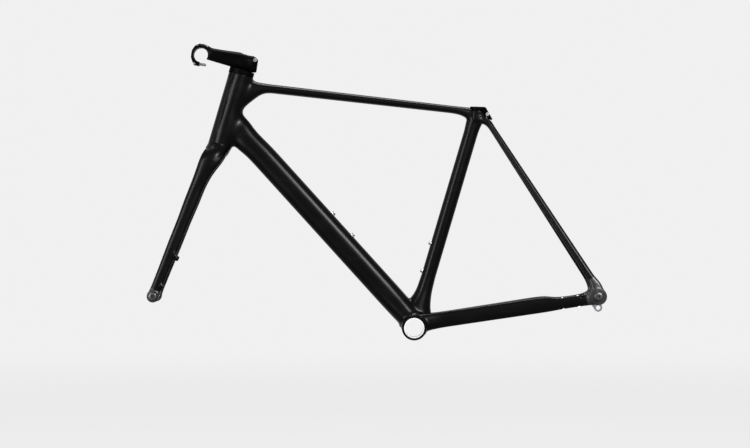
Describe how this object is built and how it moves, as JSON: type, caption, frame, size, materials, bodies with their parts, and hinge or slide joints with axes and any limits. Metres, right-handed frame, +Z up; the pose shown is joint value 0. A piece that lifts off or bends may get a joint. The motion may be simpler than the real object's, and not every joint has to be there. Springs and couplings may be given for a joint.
{
  "type": "bicycle frame",
  "caption": "Road bicycle frame with curved carbon tubes, slim stays, a fork that turns in the head tube, headset, stem, seat clamp and through axles.",
  "frame": {"origin": "centre of the bottom bracket bore", "axes": "+X to the rear wheel, +Y to the chain side along the bottom bracket, +Z up"},
  "size_m": [1.0112, 0.1767, 0.6566],
  "materials": {
    "carbon": "satin lacquer over carbon fibre",
    "black_alloy": "black anodised, fine blasted",
    "grey_alloy": "dark grey anodised",
    "bare_alloy": "machined",
    "bolt_steel": "blackened steel",
    "bearing_steel": "ground",
    "axle_alloy": "black anodised",
    "rubber": "matt"
  },
  "bodies": {
    "frame": {"head_tube": "carbon", "top_tube": "carbon", "down_tube": "carbon", "seat_tube": "carbon", "seat_cluster": "carbon", "bottom_bracket_shell": "carbon", "bottom_bracket_sleeve": "bare_alloy", "left_chain_stay": "carbon", "right_chain_stay": "carbon", "left_seat_stay": "carbon", "right_seat_stay": "carbon", "left_dropout": "black_alloy", "right_dropout": "black_alloy", "derailleur_hanger": "grey_alloy", "hanger_bolt": "bolt_steel", "front_derailleur_mount": "black_alloy", "front_derailleur_bolts": "bolt_steel", "down_tube_bottle_inserts": "bare_alloy", "down_tube_bottle_bolts": "bolt_steel", "seat_tube_bottle_inserts": "bare_alloy", "seat_tube_bottle_bolts": "bolt_steel", "seat_clamp_collar": "black_alloy", "seat_clamp_bolt": "bolt_steel", "seat_clamp_nut": "bolt_steel", "rear_brake_sleeves": "bare_alloy", "rear_hose_grommet": "rubber", "upper_outer_race": "bearing_steel", "lower_outer_race": "bearing_steel"},
    "steering": {"upper_inner_race": "bearing_steel", "lower_inner_race": "bearing_steel", "crown_race": "grey_alloy", "compression_ring": "grey_alloy", "headset_cover": "black_alloy", "lower_spacer": "black_alloy", "upper_spacer": "black_alloy", "stem_body": "black_alloy", "stem_faceplate": "black_alloy", "faceplate_bolts": "bolt_steel", "stem_clamp_bolts": "bolt_steel", "stem_top_cap": "black_alloy", "top_cap_bolt": "bolt_steel", "expander_plug": "bare_alloy", "fork_steerer": "carbon", "fork_crown": "carbon", "left_fork_blade": "carbon", "right_fork_blade": "carbon", "left_fork_dropout": "black_alloy", "right_fork_dropout": "black_alloy", "front_axle_insert": "bare_alloy", "front_brake_bosses": "carbon", "front_hose_grommet": "rubber"},
    "upper_ball_set": {"upper_bearing_balls": "bearing_steel"},
    "lower_ball_set": {"lower_bearing_balls": "bearing_steel"},
    "front_axle": {"front_axle_shaft": "axle_alloy"},
    "rear_axle": {"rear_axle_shaft": "axle_alloy"}
  },
  "joints": [
    {"name": "steering", "type": "hinge", "parent": "frame", "child": "steering", "pos_m": [-0.386, 0, 0.551], "axis": [0.2874, 0, 0.9578], "range_deg": [-75, 75]},
    {"name": "upper_balls_roll", "type": "hinge", "parent": "frame", "child": "upper_ball_set", "pos_m": [-0.386, 0, 0.551], "axis": [0.2874, 0, 0.9578], "range_deg": [-36, 36]},
    {"name": "lower_balls_roll", "type": "hinge", "parent": "frame", "child": "lower_ball_set", "pos_m": [-0.386, 0, 0.551], "axis": [0.2874, 0, 0.9578], "range_deg": [-36, 36]},
    {"name": "front_axle_slide", "type": "slide", "parent": "steering", "child": "front_axle", "axis": [0, -1, 0], "range_m": [0, 0.13]},
    {"name": "rear_axle_slide", "type": "slide", "parent": "frame", "child": "rear_axle", "axis": [0, -1, 0], "range_m": [0, 0.17]}
  ],
  "couplings": [
    {"joint": "upper_balls_roll", "follows": "steering", "ratio": 0.4595},
    {"joint": "lower_balls_roll", "follows": "steering", "ratio": 0.462}
  ]
}
